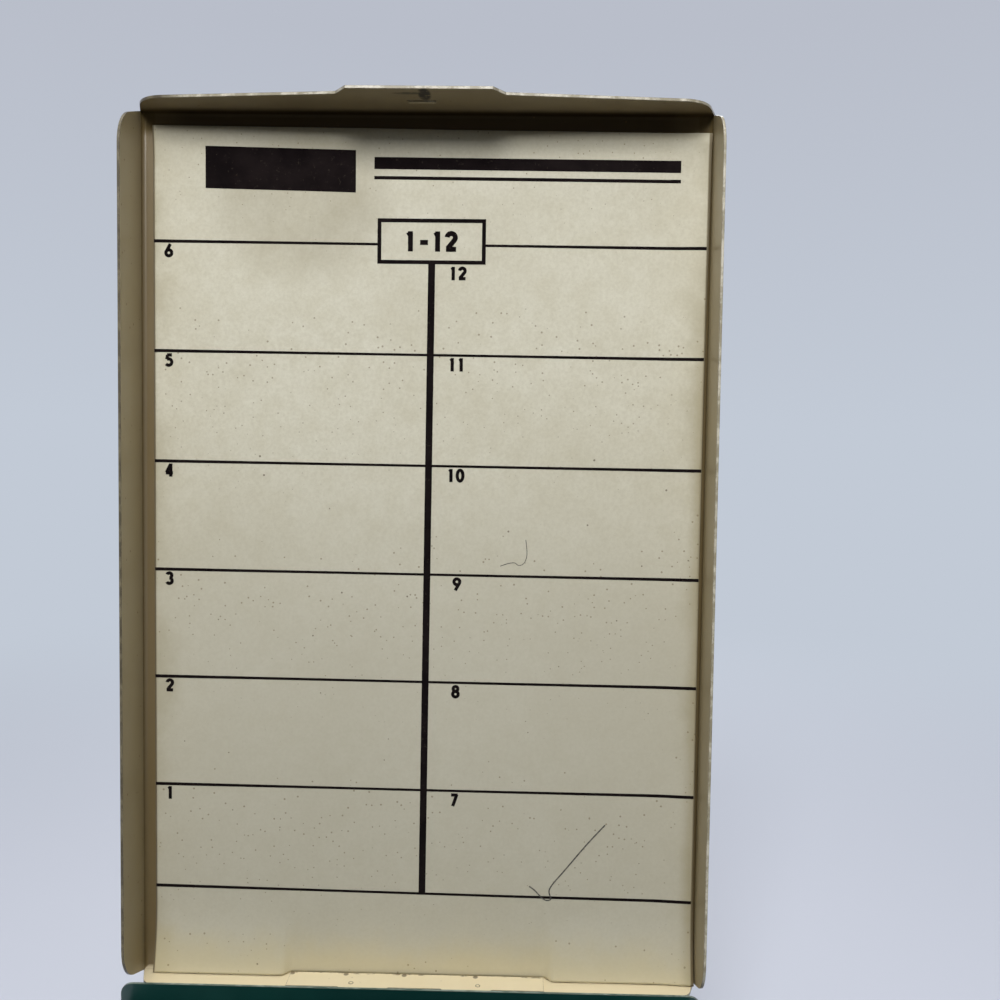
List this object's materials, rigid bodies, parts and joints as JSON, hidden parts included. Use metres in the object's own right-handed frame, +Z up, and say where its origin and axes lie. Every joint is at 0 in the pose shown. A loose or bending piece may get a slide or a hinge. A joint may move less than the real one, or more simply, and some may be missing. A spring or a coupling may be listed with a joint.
{
  "type": "slide file box",
  "caption": "Shallow folded-steel slide file with a hinged lid, an index card inside the lid, and tilting trays that each hold side-by-side groups of mounted slides.",
  "frame": {"origin": "centre of the base's flat underside", "axes": "+X to the right, -Y to the front, +Z up; the lid hinge runs along X at the rear"},
  "size_m": [0.112, 0.185, 0.2217],
  "materials": {
    "cream_enamel": "smooth cream enamel, worn and chipped at the edges",
    "green_enamel": "smooth dark green enamel, worn to metal along the edges",
    "card": "aged printed card with black rules and plain numbers",
    "bare_steel": "dull plated steel"
  },
  "bodies": {
    "base": {"base_shell": "green_enamel", "base_hinge_leaf": "green_enamel", "hinge_pin": "bare_steel", "pivot_rod_1": "bare_steel", "pivot_rod_2": "bare_steel", "pivot_rod_3": "bare_steel", "pivot_rod_4": "bare_steel", "pivot_rod_5": "bare_steel", "pivot_rod_6": "bare_steel"},
    "lid": {"lid_shell": "cream_enamel", "index_card": "card", "lid_hinge_leaf": "cream_enamel"},
    "tray_body_1": {"tray_1": "green_enamel", "tray_fin_1": "green_enamel"},
    "tray_body_2": {"tray_2": "green_enamel", "tray_fin_2": "green_enamel"},
    "tray_body_3": {"tray_3": "green_enamel", "tray_fin_3": "green_enamel"},
    "tray_body_4": {"tray_4": "green_enamel", "tray_fin_4": "green_enamel"},
    "tray_body_5": {"tray_5": "green_enamel", "tray_fin_5": "green_enamel"},
    "tray_body_6": {"tray_6": "green_enamel", "tray_fin_6": "green_enamel"}
  },
  "joints": [
    {"name": "lid_hinge", "type": "hinge", "parent": "base", "child": "lid", "pos_m": [0, 0.0858, 0.0492], "axis": [-1, 0, 0], "range_deg": [-91.5, 0]},
    {"name": "tray_tilt_1", "type": "hinge", "parent": "base", "child": "tray_body_1", "pos_m": [0, -0.0576, 0.003], "axis": [-1, 0, 0], "range_deg": [0, 6]},
    {"name": "tray_tilt_2", "type": "hinge", "parent": "base", "child": "tray_body_2", "pos_m": [0, -0.03085, 0.003], "axis": [-1, 0, 0], "range_deg": [0, 6]},
    {"name": "tray_tilt_3", "type": "hinge", "parent": "base", "child": "tray_body_3", "pos_m": [0, -0.0041, 0.003], "axis": [-1, 0, 0], "range_deg": [0, 6]},
    {"name": "tray_tilt_4", "type": "hinge", "parent": "base", "child": "tray_body_4", "pos_m": [0, 0.02265, 0.003], "axis": [-1, 0, 0], "range_deg": [0, 6]},
    {"name": "tray_tilt_5", "type": "hinge", "parent": "base", "child": "tray_body_5", "pos_m": [0, 0.0494, 0.003], "axis": [-1, 0, 0], "range_deg": [0, 6]},
    {"name": "tray_tilt_6", "type": "hinge", "parent": "base", "child": "tray_body_6", "pos_m": [0, 0.07615, 0.003], "axis": [-1, 0, 0], "range_deg": [0, 6]}
  ]
}
